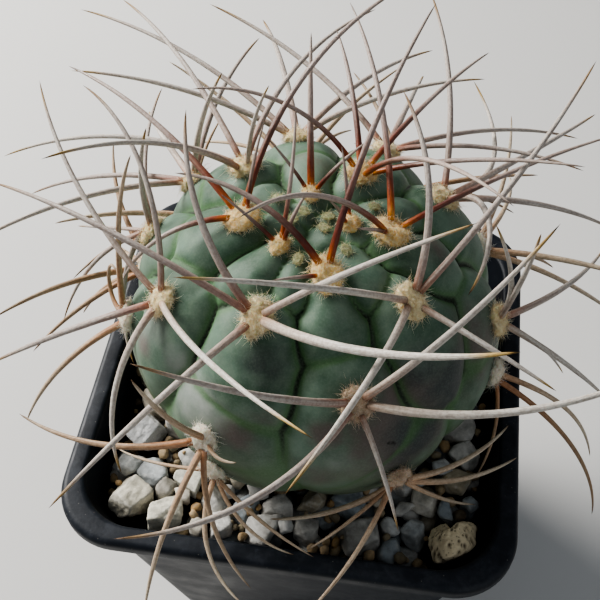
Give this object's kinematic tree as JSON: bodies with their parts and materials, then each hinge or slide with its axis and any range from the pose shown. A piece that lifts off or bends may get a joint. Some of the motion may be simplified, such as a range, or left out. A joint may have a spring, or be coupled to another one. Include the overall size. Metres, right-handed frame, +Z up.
{
  "type": "potted chin cactus",
  "caption": "Globular chin cactus with rounded tubercles and long curved spines, growing in gravel in a small square plastic pot.",
  "frame": {"origin": "centre of the pot's flat underside", "axes": "+Z up, -Y towards the side the plant is seen from, pot sides along X and Y"},
  "size_m": [0.1346, 0.1268, 0.1648],
  "materials": {
    "pot_plastic": "satin moulded",
    "potting_soil": "matte crumbly",
    "limestone_gravel": "matte stone",
    "pumice": "porous stone",
    "white_stone": "matte stone",
    "cactus_skin": "matte waxy skin",
    "young_spines": "satin horn",
    "mature_spines": "satin horn",
    "old_spines": "matte horn"
  },
  "bodies": {
    "root": {"pot": "pot_plastic", "soil": "potting_soil", "gravel": "limestone_gravel", "pumice_stone": "pumice", "white_stone_1": "white_stone", "white_stone_2": "white_stone", "white_stone_3": "white_stone", "white_stone_4": "white_stone", "cactus_body": "cactus_skin", "areole_01": "young_spines", "areole_02": "young_spines", "areole_03": "young_spines", "areole_04": "young_spines", "areole_05": "young_spines", "areole_06": "young_spines", "areole_07": "young_spines", "areole_08": "mature_spines", "areole_09": "mature_spines", "areole_10": "mature_spines", "areole_11": "mature_spines", "areole_12": "mature_spines", "areole_13": "mature_spines", "areole_14": "mature_spines", "areole_15": "mature_spines", "areole_16": "mature_spines", "areole_17": "mature_spines", "areole_18": "mature_spines", "areole_19": "old_spines", "areole_20": "old_spines", "areole_21": "old_spines", "areole_22": "old_spines", "areole_23": "old_spines", "areole_24": "old_spines", "areole_25": "old_spines", "areole_26": "old_spines", "areole_27": "old_spines", "areole_28": "old_spines"}
  },
  "joints": []
}
